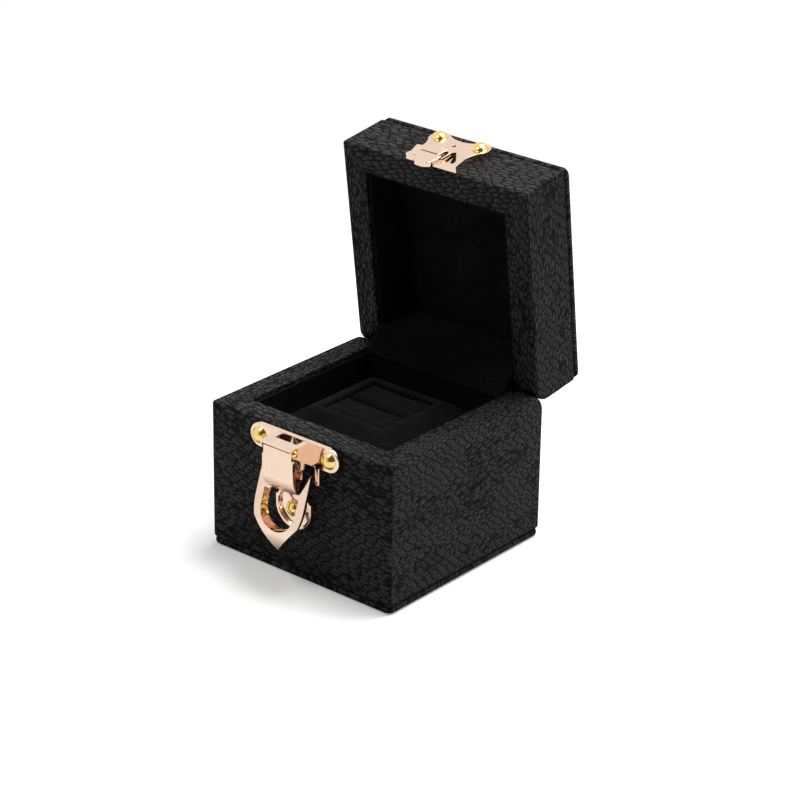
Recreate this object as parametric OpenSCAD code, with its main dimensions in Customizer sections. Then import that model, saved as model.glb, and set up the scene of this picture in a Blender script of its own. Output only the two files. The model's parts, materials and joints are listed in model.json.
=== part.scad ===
// Ring display box: a leather-wrapped board box with a padded ring platform, a lid on a concealed
// hinge that stands open on its own rounded edge, and a metal spring lock with a pull ring.
// Millimetres. The origin is the centre of the underside, +Z is up and the lock faces -Y.

/* [Box] */
// Outside width, side to side
box_w = 65; // [55:1:85]
// Outside depth, front to back
box_d = 65; // [55:1:85]
// Height of the base, from the surface it stands on to its rim
base_h = 44; // [42:0.5:60]
// Height of the lid, from its rim to the top of its cover plate
lid_h = 19.3; // [17:0.1:30]
// Angle of the lid in the pose that is modelled, standing open
lid_open = 82.4; // [0:0.2:82.4]
// Gap between the two rims when the lid is shut
rim_gap = 0.2; // [0.1:0.05:0.5]

/* [Walls] */
// Width of the leather rim, from the outside face to the opening
rim_w = 7.8; // [7:0.1:10]
// Thickness of the leather
leather_t = 1; // [0.8:0.1:1.2]
// Depth to which the leather is turned in over the rim
turn_in = 9; // [6:0.5:12]
// Radius of the outside corners and rim edges
edge_r = 1.2; // [1:0.1:1.2]
// Radius of the rear rim edges, which roll on each other as the lid opens
back_r = 5.5; // [5.5:0.1:6]
// Thickness of the suede-covered lining panels
lining_t = 1; // [0.6:0.1:1.4]
// How far the lining stops below the rim
lining_drop = 1; // [0.6:0.1:2]
// Thickness of the floor board and of the lid's inner board
board_t = 2.6; // [2:0.1:4]
// Thickness of the leather-covered bottom plate
plate_t = 2; // [1.6:0.1:3]
// Thickness of the leather-covered plate on the lid
cover_t = 2; // [1.6:0.1:3]
// Corner radius of both plates, seen from above
plate_r = 2; // [1:0.1:3]
// Thickness of the suede sheet under the bottom plate
underlay_t = 0.3; // [0.2:0.1:0.5]
// How far that sheet is set in from the plate's edge
underlay_inset = 2.5; // [2:0.5:6]

/* [Ring pad] */
// Width of the raised square top of the pad
pad_top_w = 27; // [24:0.5:32]
// How far that top lies below the rim
pad_drop = 2.3; // [1.5:0.1:5]
// Slope of the pad's four sides
pad_slope = 34.5; // [25:0.5:36]
// Width of the square well that holds the two rolls
well_w = 22; // [20:0.5:23]
// Depth of the well
well_depth = 11.5; // [9:0.5:14]
// How far the rolls' tops lie below the pad's top
roll_drop = 0.5; // [0:0.1:1.5]
// Radius of the rolls' upper edges
roll_r = 2.2; // [1:0.1:4]
// Width of the slot between the rolls, which grips the ring
slot_w = 0.8; // [0.4:0.1:2]
// Gap between the pad's pieces and what they sit in
pad_gap = 0.15; // [0.1:0.05:0.4]

/* [Hinge] */
// Distance of the hinge axis from the rear face
hinge_inset = 3.3; // [3.3:0.1:3.5]
// Length of the hinge along its axis
hinge_len = 25; // [18:1:35]
// Outside radius of the hinge knuckles
knuckle_r = 1.25; // [1.1:0.05:1.3]
// Radius of the hinge pin
hinge_pin_r = 0.6; // [0.5:0.05:0.7]
// Running clearance round the hinge pin
hinge_run = 0.05; // [0.02:0.01:0.1]
// Thickness of the hinge leaves
leaf_t = 0.7; // [0.5:0.05:0.8]
// Height of the hinge leaves behind the lining
leaf_h = 11; // [9:0.5:12]
// Thickness of the suede strip that covers the hinge
strip_t = 0.5; // [0.3:0.1:0.8]

/* [Lock] */
// Sideways offset of the lock and its strike from the middle of the box
lock_x = -0.6; // [-1:0.1:1]
// Distance between the two wing screws
wing_span = 24.8; // [23:0.2:30]
// Half height of the back plate, and radius of its round ends
wing_r = 3.5; // [3:0.1:3.8]
// Height of the back plate's centre line below the rim
wing_drop = 3.95; // [3.9:0.05:6]
// Thickness of the back plate
wing_t = 1.5; // [1:0.1:1.5]
// Width of the lock housing
case_w = 11.2; // [10.8:0.1:12.4]
// How far the housing stands out from the back plate
case_out = 7.2; // [7:0.1:8]
// Height of the housing
case_h = 7.1; // [6.6:0.1:8]
// Thickness of the housing's cheeks
cheek_t = 0.4; // [0.3:0.05:0.5]
// Thickness of the housing's top
case_top_t = 0.6; // [0.4:0.05:0.6]
// Length of the slot in the housing's top
mouth_w = 7.6; // [7:0.1:8]
// Depth of that slot, front to back
mouth_d = 3.2; // [3:0.1:3.4]
// Radius of the lever's pin
lever_pin_r = 0.45; // [0.4:0.05:0.5]
// Running clearance round the lever's pin
lever_run = 0.05; // [0.02:0.01:0.1]
// Thickness of the lever
lever_t = 0.9; // [0.7:0.05:1]
// Height of the lever, from its top edge to its lower lip
lever_h = 13.4; // [13:0.1:14]
// Width of the pull ring at its belly
ring_w = 17.3; // [16.5:0.1:19]
// Width of the finger hole in the pull ring
ring_hole_w = 12.3; // [12:0.1:13]
// Thickness of the pull ring's plate
ring_t = 1; // [0.8:0.1:1.2]
// Depth of the flange round the finger hole
ring_flange = 2.8; // [2:0.1:3]
// Height of the pull ring, from its upper edge to its point
ring_h = 23.7; // [23:0.1:26]
// Radius of the domed screw heads
head_r = 2.45; // [2:0.05:2.6]
// Height of the domed screw heads
head_h = 1.6; // [1:0.1:1.8]
// Radius of the screws' shanks
shank_r = 0.8; // [0.6:0.05:1]
// Length of the screws' shanks
shank_l = 5; // [4:0.5:6]
// Width of the keeper below the lock
keeper_w = 12.6; // [11:0.2:14]
// Height of the keeper
keeper_h = 8.9; // [8.6:0.1:11]
// Thickness of the keeper at its raised border
keeper_t = 1.8; // [1.5:0.1:2.2]

/* [Strike] */
// Distance between the strike's two screws
strike_span = 14.2; // [13:0.2:16]
// Height of the strike's screws above the lid's rim
strike_rise = 13.2; // [12.5:0.1:14]
// Thickness of the strike
strike_t = 1.9; // [1.5:0.1:1.9]
// Width of the strike at its lower edge
strike_w = 17.6; // [16:0.2:19]
// Thickness of the tongue
tongue_t = 1.5; // [1.2:0.1:1.6]
// Width of the tongue
tongue_w = 6.2; // [5:0.1:6.4]
// How far the tongue reaches past the lid's rim
tongue_out = 4.3; // [3:0.1:4.5]

/* [Hidden] */
$fn = 48;
cut = 1;          // how far a cutting shape runs past the face that it cuts
fit = 0.02;       // radial clearance of a pin or screw that is pressed in
play = 0.3;       // clearance between pieces that move past each other

// box levels and half widths
hw = box_w / 2;
hd = box_d / 2;
wall_z = underlay_t + plate_t;
wall_h = base_h - wall_z;
lid_rim = base_h + rim_gap;
lid_wall_h = lid_h - cover_t;
open_w = box_w - 2 * rim_w;
open_d = box_d - 2 * rim_w;
core_w = box_w - 2 * leather_t;
core_d = box_d - 2 * leather_t;
well_x = open_w / 2 + leather_t;
well_y = open_d / 2 + leather_t;
panel_t = 1.5;    // thickness of the padded panel inside the lid
lid_room = lid_wall_h - board_t - panel_t;

// hinge
hinge_y = hd - hinge_inset;
hinge_z = base_h + rim_gap / 2;
axis_up = rim_gap / 2;              // height of the hinge axis above either rim
knuckle_mid = hinge_len / 3;        // length of the lid's middle knuckle
knuckle_gap = 0.2;
leaf_y = open_d / 2 + 0.1;          // front face of the leaves
hinge_screw_x = hinge_len / 3;
hinge_screw_down = 6.5;             // below the rim
hinge_head_r = 1.2;
hinge_shank_r = 0.55;
hinge_shank_l = 3.5;

// ring pad
pad_z = base_h - pad_drop;
pad_half_w = open_w / 2 - lining_t - pad_gap;
pad_half_d = open_d / 2 - lining_t - pad_gap;
floor_z = wall_z + board_t;
pad_low_z = pad_z - well_depth;
roll_half = well_w / 2 - pad_gap;

// lock
face_y = -hd;
wing_z = base_h - wing_drop;
case_y = face_y - wing_t;           // where the housing meets the back plate
case_front = case_y - case_out;
case_top = wing_z + wing_r - 0.25;
case_low = case_top - case_h;
lever_w = case_w - 2 * cheek_t - play;
lever_knuckle_r = 0.8;
lever_y = case_front + 1.8;         // lever pin
lever_z = case_top - case_top_t - lever_knuckle_r - 0.15;
lever_top = lever_z + 0.25;
lever_face = case_front + 0.63;
lever_low = lever_top - lever_h;
lever_bend_r = 11;                  // the lever's lower end curves in on this radius
lever_bend = 6.6;                   // height of that curved end
ring_top = case_low - 0.7;
ring_tip = ring_top - ring_h;
ring_bow_r = 11;                    // the ring's lower end is bowed on this radius
ring_bow_y = lever_face + 9.6;
ring_bow_z = ring_tip + 5.7;
ring_slant = 18.3;                  // its upper part leans in to the lever
ring_belly_z = ring_tip + 14.2;
ring_hole_low = ring_tip + 6.2;
ring_hole_top = lever_low - 0.2;
ring_point = 0.87;                  // half width gained per unit of height at the point
ring_rim = 0.7;                     // width of the flange round the finger hole
ring_neck_w = 10.4;
keeper_z = ring_tip + 10.5;         // centre of the keeper's round end
keeper_floor = 0.8;                 // thickness inside the keeper's raised border
keeper_border = 0.8;
boss_h = 0.8;                       // raised seat of the keeper's screw
lug_x = 8.2;
lug_r = 0.75;
lug_down = 8.8;                     // from the back plate's centre line to the lugs' ends

// strike
strike_z = lid_rim + strike_rise;
strike_low = lid_rim + 0.5;
strike_r = 3.1;
strike_face = face_y - strike_t;
tongue_low = lid_rim - tongue_out;
slide_left = -7.6;                  // the raised slide that carries the tongue
slide_right = 2;
slide_top = strike_low + 5.4;

// ---- helpers -------------------------------------------------------------------------------

// extrudes a shape drawn as (Y, Z) along X, centred
module along_x(len) {
    rotate([90, 0, 90]) linear_extrude(len, center = true) children();
}

// extrudes a shape drawn as (X, Z) from the plane y forward, towards -Y
module forward(y, len) {
    translate([0, y, 0]) rotate([90, 0, 0]) linear_extrude(len) children();
}

// square with round corners, centred
module round_square(w, d, r) {
    union() {
        square([w - 2 * r, d], center = true);
        square([w, d - 2 * r], center = true);
        for (x = [-1, 1], y = [-1, 1]) translate([x * (w / 2 - r), y * (d / 2 - r)]) circle(r);
    }
}

// cross-section of a wall block: its rim is at 0 and its upper corners have the radii r0 and r1
module rim_section(half, depth, top, r0, r1) {
    union() {
        translate([-half, -depth]) square([2 * half, depth + top - max(r0, r1)]);
        translate([-half + r0, top - max(r0, r1) - 0.1]) {
            square([2 * half - r0 - r1, max(r0, r1) + 0.1]);
        }
        translate([-half, top - max(r0, r1) - 0.1]) square([half, max(r0, r1) - r0 + 0.1]);
        if (r0 > 0) translate([-half + r0, top - r0]) circle(r0);
        if (r1 > 0) translate([half - r1, top - r1]) circle(r1);
    }
}

// solid block of the walls with its rim at z = 0, set in on all sides, its rear rim edge round
module wall_block(depth, inset) {
    r = edge_r - inset > 0.3 ? edge_r - inset : 0;
    w = box_w - 2 * inset;
    d = box_d - 2 * inset;
    intersection() {
        along_x(w) rim_section(d / 2, depth, -inset, r, back_r - inset);
        if (r > 0) {
            rotate([90, 0, 0]) linear_extrude(d, center = true) {
                rim_section(w / 2, depth, 0, r, r);
            }
        }
        if (r > 0) translate([0, 0, -depth]) linear_extrude(depth + cut) round_square(w, d, r);
    }
}

// block of a given plan between two heights
module slab(w, d, z0, z1) {
    translate([-w / 2, -d / 2, z0]) cube([w, d, z1 - z0]);
}

// places what is drawn with its rim at z = 0 on the base, or upside down on the lid
module on_base() {
    translate([0, 0, base_h]) children();
}
module on_lid() {
    lid_pose() translate([0, 0, lid_rim]) mirror([0, 0, 1]) children();
}

// turns the lid's pieces, drawn shut, to the open pose
module lid_pose() {
    translate([0, hinge_y, hinge_z]) rotate([-lid_open, 0, 0]) {
        translate([0, -hinge_y, -hinge_z]) children();
    }
}

// ---- walls, the same for the base and the lid ----------------------------------------------

// room for the hinge, cut from leather and boards
module hinge_room() {
    len = hinge_len + 2 * play;
    translate([-len / 2, hinge_y, axis_up]) rotate([0, 90, 0]) cylinder(r = knuckle_r + play, h = len);
    translate([-len / 2, open_d / 2 - cut, -leather_t]) {
        cube([len, hinge_y - open_d / 2 + cut, leather_t + cut]);
    }
    translate([-len / 2, open_d / 2 - cut, -leaf_h - play]) {
        cube([len, leather_t + cut, leaf_h + play + cut]);
    }
}

// leather over the outside, the rim and the first stretch of the inside
module leather_wrap(depth) {
    difference() {
        wall_block(depth, 0);
        difference() {
            translate([0, 0, 0]) wall_block(depth + cut, leather_t);
            slab(2 * well_x, 2 * well_y, -turn_in, cut);
        }
        slab(open_w, open_d, -depth - cut, cut);
        hinge_room();
    }
}

module front_board(depth) {
    translate([-core_w / 2, -core_d / 2, -depth]) {
        cube([core_w, core_d / 2 - well_y, depth - leather_t]);
    }
}

module rear_board(depth) {
    difference() {
        along_x(core_w) rim_section(core_d / 2, depth, -leather_t, 0, back_r - leather_t);
        translate([-core_w / 2 - cut, -core_d / 2 - cut, -depth - cut]) {
            cube([core_w + 2 * cut, core_d / 2 + well_y + cut, depth + 2 * cut]);
        }
        hinge_room();
        hinge_screw_places() cylinder(r = hinge_shank_r + fit, h = hinge_shank_l + 2);
    }
}

module side_boards(depth) {
    for (s = [-1, 1]) {
        translate([s * (core_w / 2 + well_x) / 2, 0, -(depth + leather_t) / 2]) {
            cube([core_w / 2 - well_x, 2 * well_y, depth - leather_t], center = true);
        }
    }
}

// four lining panels round the opening
module lining_walls(depth) {
    difference() {
        slab(open_w, open_d, -depth, -lining_drop);
        slab(open_w - 2 * lining_t, open_d - 2 * lining_t, -depth - cut, cut);
    }
}

// ---- base ----------------------------------------------------------------------------------

module underlay() {
    color("dimgray") linear_extrude(underlay_t) {
        round_square(box_w - 2 * underlay_inset, box_d - 2 * underlay_inset, plate_r);
    }
}

module bottom_plate() {
    color("black") translate([0, 0, underlay_t]) linear_extrude(plate_t) {
        round_square(box_w, box_d, plate_r);
    }
}

module base_floor_board() {
    color("tan") slab(2 * well_x, 2 * well_y, wall_z, floor_z);
}

module base_front_board() {
    color("tan") difference() {
        on_base() front_board(wall_h);
        lock_screw_places() cylinder(r = shank_r + fit, h = 2 * shank_l, center = true);
        keeper_screw_place() cylinder(r = shank_r + fit, h = 2 * shank_l, center = true);
    }
}

module base_rear_board() {
    color("tan") on_base() rear_board(wall_h);
}

module base_side_boards() {
    color("tan") on_base() side_boards(wall_h);
}

module base_leather() {
    color([0.08, 0.08, 0.08]) difference() {
        on_base() leather_wrap(wall_h);
        lock_screw_places() cylinder(r = shank_r + fit, h = 2 * shank_l, center = true);
        keeper_screw_place() cylinder(r = shank_r + fit, h = 2 * shank_l, center = true);
    }
}

module base_lining() {
    color([0.05, 0.05, 0.05]) on_base() lining_walls(base_h - floor_z);
}

// ---- ring pad ------------------------------------------------------------------------------

module pad_support() {
    color("gray") slab(2 * pad_half_w, 2 * pad_half_d, floor_z, pad_low_z);
}

// upright cross-section of the collar: straight below, sloping in to the top
module collar_section(half) {
    shoulder = pad_z - (half - pad_top_w / 2) * tan(pad_slope);
    polygon([[-half, pad_low_z], [half, pad_low_z], [half, shoulder], [pad_top_w / 2, pad_z],
        [-pad_top_w / 2, pad_z], [-half, shoulder]]);
}

module pad_collar() {
    color([0.1, 0.1, 0.1]) difference() {
        intersection() {
            along_x(2 * pad_half_w) collar_section(pad_half_d);
            rotate([90, 0, 0]) linear_extrude(2 * pad_half_d, center = true) {
                collar_section(pad_half_w);
            }
        }
        slab(well_w, well_w, pad_low_z - cut, pad_z + cut);
    }
}

// one roll of the cushion, between the slot and the front of the well
module pad_roll() {
    depth = roll_half - slot_w / 2;
    translate([0, -slot_w / 2 - depth / 2, pad_z - roll_drop]) along_x(2 * roll_half) {
        rim_section(depth / 2, pad_z - roll_drop - pad_low_z, 0, roll_r, roll_r);
    }
}

module pad_roll_front() {
    color([0.12, 0.12, 0.12]) pad_roll();
}

module pad_roll_rear() {
    color([0.12, 0.12, 0.12]) mirror([0, 1, 0]) pad_roll();
}

// ---- hinge ---------------------------------------------------------------------------------

// the screws' places in the rim frame, with +Z pointing into the board
module hinge_screw_places() {
    for (s = [-1, 1]) {
        translate([s * hinge_screw_x, leaf_y, -hinge_screw_down]) rotate([-90, 0, 0]) children();
    }
}

// one leaf in the rim frame; its knuckles fill the spans, each given as [from, to] along X
module hinge_leaf(spans, bore_r) {
    difference() {
        union() {
            translate([-hinge_len / 2, leaf_y, -leaf_h]) {
                cube([hinge_len, leaf_t, leaf_h - leather_t + 0.1 + leaf_t]);
            }
            translate([-hinge_len / 2, leaf_y, -leather_t + 0.1]) {
                cube([hinge_len, hinge_y - knuckle_r - play - leaf_y, leaf_t]);
            }
            for (s = spans) {
                translate([s[0], leaf_y, -leather_t + 0.1]) {
                    cube([s[1] - s[0], hinge_y - 0.8 - leaf_y, leaf_t]);
                }
                translate([s[0], hinge_y, axis_up]) rotate([0, 90, 0]) {
                    cylinder(r = knuckle_r, h = s[1] - s[0]);
                }
            }
        }
        translate([-hinge_len, hinge_y, axis_up]) rotate([0, 90, 0]) {
            cylinder(r = bore_r, h = 2 * hinge_len);
        }
        hinge_screw_places() hinge_screw(fit);
    }
}

// countersunk screw with its head level with the leaf, grown by a clearance
module hinge_screw(grow) {
    cylinder(r1 = hinge_head_r + grow, r2 = hinge_shank_r + grow, h = leaf_t);
    cylinder(r = hinge_shank_r + grow, h = hinge_shank_l + grow);
}

module hinge_leaf_base() {
    color("gray") on_base() hinge_leaf([[-hinge_len / 2, -knuckle_mid / 2 - knuckle_gap],
        [knuckle_mid / 2 + knuckle_gap, hinge_len / 2]], hinge_pin_r + fit);
}

module hinge_leaf_lid() {
    color("gray") on_lid() {
        hinge_leaf([[-knuckle_mid / 2, knuckle_mid / 2]], hinge_pin_r + hinge_run);
    }
}

module hinge_pin() {
    color("silver") translate([-hinge_len / 2, hinge_y, hinge_z]) rotate([0, 90, 0]) {
        cylinder(r = hinge_pin_r, h = hinge_len);
    }
}

module hinge_screws_base() {
    color("silver") on_base() hinge_screw_places() hinge_screw(0);
}

module hinge_screws_lid() {
    color("silver") on_lid() hinge_screw_places() hinge_screw(0);
}

// suede strip from the base's rear lining to the lid's, drawn taut with the lid open
module hinge_strip() {
    low = [open_d / 2 - 0.4, base_h - 0.4];
    reach = hinge_y - open_d / 2;
    high = [hinge_y - reach * cos(lid_open) - 0.35, hinge_z + reach * sin(lid_open)];
    tilt = atan2(high[1] - low[1], high[0] - low[0]);
    color([0.1, 0.1, 0.1]) along_x(open_w - 0.6) translate(low) rotate(tilt) {
        square([norm(high - low), strip_t]);
    }
}

// ---- lock ----------------------------------------------------------------------------------

module lock_screw_places() {
    for (s = [-1, 1]) {
        translate([lock_x + s * wing_span / 2, case_y, wing_z]) rotate([90, 0, 0]) children();
    }
}

module keeper_screw_place() {
    translate([lock_x, face_y - keeper_floor - boss_h, keeper_z - 0.4]) {
        rotate([90, 0, 0]) children();
    }
}

// domed screw, its head outwards along +Z
module dome_screw() {
    ball = (head_r * head_r + head_h * head_h) / (2 * head_h);
    intersection() {
        translate([0, 0, head_h - ball]) sphere(ball);
        cylinder(r = head_r, h = head_h);
    }
    translate([0, 0, -shank_l]) cylinder(r = shank_r, h = shank_l + head_h / 2);
}

module lock_back_plate() {
    color([0.86, 0.66, 0.56]) difference() {
        translate([lock_x, 0, 0]) forward(face_y, wing_t) union() {
            translate([0, wing_z]) square([wing_span, 2 * wing_r], center = true);
            for (s = [-1, 1]) {
                translate([s * wing_span / 2, wing_z]) circle(wing_r);
                translate([s * lug_x, wing_z - lug_down + lug_r]) circle(lug_r);
                translate([s * lug_x - lug_r, wing_z - lug_down + lug_r]) {
                    square([2 * lug_r, lug_down - lug_r]);
                }
            }
        }
        lock_screw_places() cylinder(r = shank_r + fit, h = 3 * wing_t, center = true);
    }
}

module lock_screws() {
    color("gold") lock_screw_places() dome_screw();
}

// side view of a cheek, as (Y, Z): full depth at the top, hollowed in below
module cheek_section() {
    polygon([[case_y, case_low], [case_front + 3.5, case_low], [case_front + 3.2, case_low + 0.7],
        [case_front + 2.9, case_low + 1.7], [case_front + 2.5, case_low + 2.6],
        [case_front + 1.9, case_low + 3.5], [case_front + 1, case_low + 4.4],
        [case_front + 0.35, case_low + 5.2], [case_front, case_low + 6.2],
        [case_front, case_top], [case_y, case_top]]);
}

module lock_housing() {
    color([0.9, 0.7, 0.6]) difference() {
        translate([lock_x, 0, 0]) union() {
            for (s = [-1, 1]) {
                translate([s * (case_w - cheek_t) / 2, 0, 0]) along_x(cheek_t) cheek_section();
            }
            translate([-case_w / 2, case_front, case_top - case_top_t]) {
                cube([case_w, case_out, case_top_t]);
            }
        }
        translate([lock_x - mouth_w / 2, case_y - mouth_d, case_top - case_top_t - cut]) {
            cube([mouth_w, mouth_d + cut, case_top_t + 2 * cut]);
        }
        lever_axis(lever_pin_r + fit, case_w + cut);
    }
}

module lever_axis(r, len) {
    translate([lock_x - len / 2, lever_y, lever_z]) rotate([0, 90, 0]) cylinder(r = r, h = len);
}

module lever_pin() {
    head = 1.05;
    ball = 1.25;
    color("gold") {
        lever_axis(lever_pin_r, case_w);
        for (s = [-1, 1]) {
            translate([lock_x + s * case_w / 2, lever_y, lever_z]) rotate([0, s * 90, 0]) {
                intersection() {
                    translate([0, 0, 0.6 - ball]) sphere(ball);
                    cylinder(r = head, h = 1);
                }
            }
        }
    }
}

// leaf spring on the back plate, behind the neck of the pull ring
module lever_spring() {
    t = 0.35;
    foot = case_low + 2;
    bend = case_low - 0.4;
    color("silver") translate([lock_x, 0, 0]) along_x(7) {
        polygon([[case_y, foot], [case_y - t, foot], [case_y - t, bend + 0.2],
            [case_y - 1.45, bend - 0.9], [case_y - 1.3, bend - 1.25], [case_y, bend]]);
    }
}

// side view of the lever, as (Y, Z): flat in front, its lower end curving in
module lever_section() {
    bend_z = lever_low + lever_bend;
    union() {
        translate([lever_face, bend_z]) square([lever_t, lever_top - bend_z]);
        intersection() {
            translate([lever_face + lever_bend_r, bend_z]) difference() {
                circle(lever_bend_r, $fn = 180);
                circle(lever_bend_r - lever_t, $fn = 180);
            }
            translate([lever_face - cut, bend_z - lever_bend - cut]) {
                square([4, lever_bend + cut]);
            }
        }
    }
}

// front view of the lever, as (X, Z): wider below the cheeks, its lower edge arched
module lever_outline() {
    half = lever_w / 2;
    foot = half + 0.85;
    intersection() {
        polygon([[-half, lever_top + cut], [half, lever_top + cut], [half, lever_top - 2.3],
            [half + 0.45, lever_top - 2.8], [half + 0.45, lever_top - 5.5], [foot, lever_top - 9.5],
            [foot, lever_low - cut], [-foot, lever_low - cut], [-foot, lever_top - 9.5],
            [-half - 0.45, lever_top - 5.5], [-half - 0.45, lever_top - 2.8],
            [-half, lever_top - 2.3]]);
        translate([0, lever_low + 15.8]) circle(15.8, $fn = 180);
    }
}

module lever_plate() {
    nose = case_y - mouth_d + 0.6;
    color([0.92, 0.72, 0.62]) difference() {
        union() {
            intersection() {
                translate([lock_x, 0, 0]) forward(case_y, 2 * case_out) lever_outline();
                translate([lock_x, 0, 0]) along_x(lever_w + cut) lever_section();
            }
            lever_axis(lever_knuckle_r, lever_w);
            translate([lock_x - lever_w / 2, lever_face + 0.1, lever_z - 1.8]) {
                cube([lever_w, lever_y - lever_face - 0.1, 1.8]);
            }
            translate([lock_x - 1.6, lever_y, lever_z - 0.65]) {
                cube([3.2, nose - lever_y, 0.6]);
            }
        }
        lever_axis(lever_pin_r + lever_run, 2 * lever_w);
        translate([lock_x, 0, 0]) along_x(2 * lever_w) ring_band(ring_t + 2);
    }
}

// front view of the ring's lower part, as (X, Z): a belly and a point
module ring_outline() {
    half = ring_w / 2;
    drop = ring_belly_z - ring_tip;
    arc_r = (half + drop * drop / half) / 2;
    intersection() {
        translate([half - arc_r, ring_belly_z]) circle(arc_r, $fn = 180);
        translate([arc_r - half, ring_belly_z]) circle(arc_r, $fn = 180);
        polygon([[0, ring_tip], [2 * half * ring_point, ring_tip + 2 * half],
            [-2 * half * ring_point, ring_tip + 2 * half]]);
        translate([-half, ring_tip]) square([ring_w, drop]);
    }
}

// front view of its upper part, as (X, Z): a neck behind the lever between two ears
module ring_crown() {
    half = ring_w / 2;
    ear = ring_hole_top + 1;
    for (s = [0, 1]) mirror([s, 0]) polygon([[0, ring_belly_z - 0.01], [half, ring_belly_z - 0.01],
        [half, ear + 2], [half - 0.1, ring_top - 1], [half - 0.4, ring_top - 0.5],
        [half - 0.7, ring_top - 1.6], [half - 1.6, ear + 2.3],
        [half - 2.2, ear + 0.8], [half - 2.7, ear + 0.1], [ring_neck_w / 2 + 0.2, ear + 0.1],
        [ring_neck_w / 2, ear + 0.6], [ring_neck_w / 2, ring_top], [0, ring_top]]);
}

// the finger hole, as (X, Z), grown by a margin
module ring_hole(grow) {
    r = ring_hole_w / 2;
    translate([0, ring_hole_low + r]) circle(r + grow);
    translate([-r - grow, ring_hole_low + r]) {
        square([ring_hole_w + 2 * grow, ring_hole_top - ring_hole_low - r]);
    }
}

// side view of a band that follows the ring, as (Y, Z), of a given thickness
module ring_band(t) {
    translate([ring_bow_y, ring_bow_z]) rotate(-ring_slant) {
        intersection() {
            difference() {
                circle(ring_bow_r, $fn = 180);
                circle(ring_bow_r - t, $fn = 180);
            }
            translate([-2 * ring_bow_r, -2 * ring_bow_r]) {
                square(2 * ring_bow_r);
            }
        }
        translate([-ring_bow_r, 0]) square([t, 2 * ring_h]);
    }
}

module pull_ring() {
    color([0.95, 0.75, 0.65]) translate([lock_x, 0, 0]) union() {
        intersection() {
            forward(face_y, 2 * case_out) difference() {
                union() {
                    ring_outline();
                    ring_crown();
                }
                ring_hole(0);
            }
            along_x(ring_w + 2) ring_band(ring_t);
        }
        intersection() {
            forward(face_y, 2 * case_out) difference() {
                ring_hole(ring_rim);
                ring_hole(0);
            }
            along_x(ring_w + 2) ring_band(ring_flange);
        }
    }
}

// front view of the keeper, as (X, Z), set in from its outline
module keeper_outline(inset) {
    r = keeper_w / 2 - inset;
    top = keeper_z + keeper_h - keeper_w / 2 - inset;
    union() {
        translate([0, keeper_z]) circle(r);
        translate([-r, keeper_z]) square([2 * r, top - keeper_z]);
    }
}

module keeper_plate() {
    color([0.88, 0.68, 0.58]) difference() {
        union() {
            translate([lock_x, 0, 0]) {
                forward(face_y, keeper_t) difference() {
                    keeper_outline(0);
                    keeper_outline(keeper_border);
                }
                forward(face_y, keeper_floor) keeper_outline(0.1);
            }
            keeper_screw_place() translate([0, 0, -boss_h - keeper_floor / 2]) {
                cylinder(r = head_r, h = boss_h + keeper_floor / 2);
            }
        }
        keeper_screw_place() cylinder(r = shank_r + fit, h = 4 * keeper_t, center = true);
    }
}

module keeper_screw() {
    color("gold") keeper_screw_place() dome_screw();
}

// ---- lid -----------------------------------------------------------------------------------

module lid_front_board() {
    color("tan") difference() {
        on_lid() front_board(lid_wall_h);
        lid_pose() strike_screw_places() {
            cylinder(r = shank_r + fit, h = 2 * shank_l, center = true);
        }
    }
}

module lid_rear_board() {
    color("tan") on_lid() rear_board(lid_wall_h);
}

module lid_side_boards() {
    color("tan") on_lid() side_boards(lid_wall_h);
}

module lid_inner_board() {
    color("tan") on_lid() slab(2 * well_x, 2 * well_y, -lid_wall_h, -lid_wall_h + board_t);
}

module lid_cover_plate() {
    color("black") on_lid() translate([0, 0, -lid_h]) linear_extrude(cover_t) {
        round_square(box_w, box_d, plate_r);
    }
}

module lid_leather() {
    color([0.08, 0.08, 0.08]) difference() {
        on_lid() leather_wrap(lid_wall_h);
        lid_pose() strike_screw_places() {
            cylinder(r = shank_r + fit, h = 2 * shank_l, center = true);
        }
    }
}

module lid_lining() {
    color([0.05, 0.05, 0.05]) on_lid() lining_walls(lid_room);
}

module lid_panel() {
    color([0.1, 0.1, 0.1]) on_lid() slab(open_w, open_d, -lid_room - panel_t, -lid_room);
}

// ---- strike --------------------------------------------------------------------------------

module strike_screw_places() {
    for (s = [-1, 1]) {
        translate([lock_x + s * strike_span / 2, strike_face, strike_z]) {
            rotate([90, 0, 0]) children();
        }
    }
}

// front view of the strike, as (X, Z): two lobes above, hollow sides, a wide lower edge
module strike_outline() {
    lobe = strike_span / 2 + strike_r;
    half = strike_w / 2;
    difference() {
        union() {
            polygon([[-half, strike_low], [half, strike_low], [half - 0.6, strike_low + 3],
                [lobe, strike_z], [strike_span / 2, strike_z + strike_r - 0.5],
                [-strike_span / 2, strike_z + strike_r - 0.5], [-lobe, strike_z],
                [0.6 - half, strike_low + 3]]);
            for (s = [-1, 1]) translate([s * strike_span / 2, strike_z]) circle(strike_r);
        }
        for (s = [-1, 1]) translate([s * (lobe + 5.7), strike_z - 7]) circle(8, $fn = 96);
        translate([0, strike_z + 9.6]) circle(9, $fn = 96);
    }
}

// cut-out beside the slide, with two catch fingers left standing in it
module strike_window() {
    x = slide_right + 0.3;
    low = strike_low + 1.2;
    difference() {
        polygon([[x, low], [strike_w / 2 - 2, low], [strike_w / 2 - 2.2, low + 1.6],
            [x + 0.9, low + 6], [x, low + 5.4]]);
        polygon([[x + 0.5, low - 1], [x + 1.8, low - 1], [x + 0.8, low + 4.2]]);
        polygon([[x + 2.7, low - 1], [x + 3.8, low - 1], [x + 2.2, low + 3]]);
    }
}

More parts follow.
